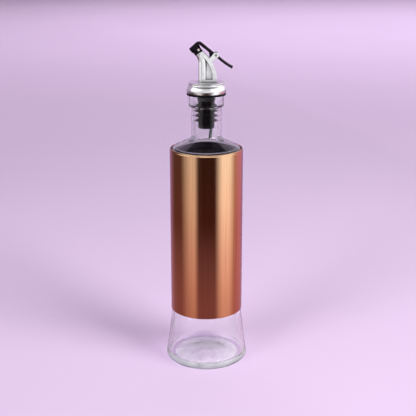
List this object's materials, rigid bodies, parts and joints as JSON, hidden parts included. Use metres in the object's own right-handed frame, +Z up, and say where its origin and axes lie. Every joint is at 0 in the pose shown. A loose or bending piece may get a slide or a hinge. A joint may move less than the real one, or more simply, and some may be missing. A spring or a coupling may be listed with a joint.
{
  "type": "glass oil bottle with pourer",
  "caption": "Tall clear glass oil bottle with a flared base, a copper-coloured metal sleeve and a silver pourer whose spout is shut by a sprung black lever cap.",
  "frame": {"origin": "centre of the ring that the bottle stands on, at table height", "axes": "+Z up along the bottle's axis; the spout leans towards -X and the thumb lever reaches towards +X; the hinge pin lies along Y"},
  "size_m": [0.071, 0.071, 0.2794],
  "materials": {
    "clear_glass": "clear, smooth, slightly green in the thick base",
    "copper_steel": "copper-coloured stainless sheet, fine vertical brushing, brassy towards the top",
    "clear_adhesive": "clear double-sided film",
    "black_rubber": "semi-gloss black rubber",
    "black_plastic": "black moulded plastic",
    "grey_tube": "smoky grey plastic tube",
    "satin_plating": "satin silver plating",
    "pin_steel": "dark steel",
    "spring_steel": "bright spring wire",
    "gloss_black": "glossy black moulding",
    "silicone": "pale translucent silicone"
  },
  "bodies": {
    "bottle": {"glass_bottle": "clear_glass", "metal_sleeve": "copper_steel", "upper_adhesive_band": "clear_adhesive", "lower_adhesive_band": "clear_adhesive"},
    "plug": {"stopper": "black_rubber"},
    "pourer": {"pour_core": "black_plastic", "air_tube": "grey_tube", "collar": "satin_plating", "spout": "satin_plating", "hinge_pin": "pin_steel", "lever_spring": "spring_steel"},
    "flip_lever": {"lever": "gloss_black", "cap_seal": "silicone"}
  },
  "joints": [
    {"name": "pourer_pull", "type": "slide", "parent": "bottle", "child": "plug", "axis": [0, 0, 1], "range_m": [0, 0.06]},
    {"name": "spout_swivel", "type": "hinge", "parent": "plug", "child": "pourer", "pos_m": [0, 0, 0.24], "axis": [0, 0, 1], "continuous": true},
    {"name": "lever_hinge", "type": "hinge", "parent": "pourer", "child": "flip_lever", "pos_m": [0.0079, 0, 0.2684], "axis": [0, 1, 0], "range_deg": [0, 40], "stiffness_Nm_per_rad": 0.01, "springref_deg": -34.38, "deforming": ["lever_spring"]}
  ]
}
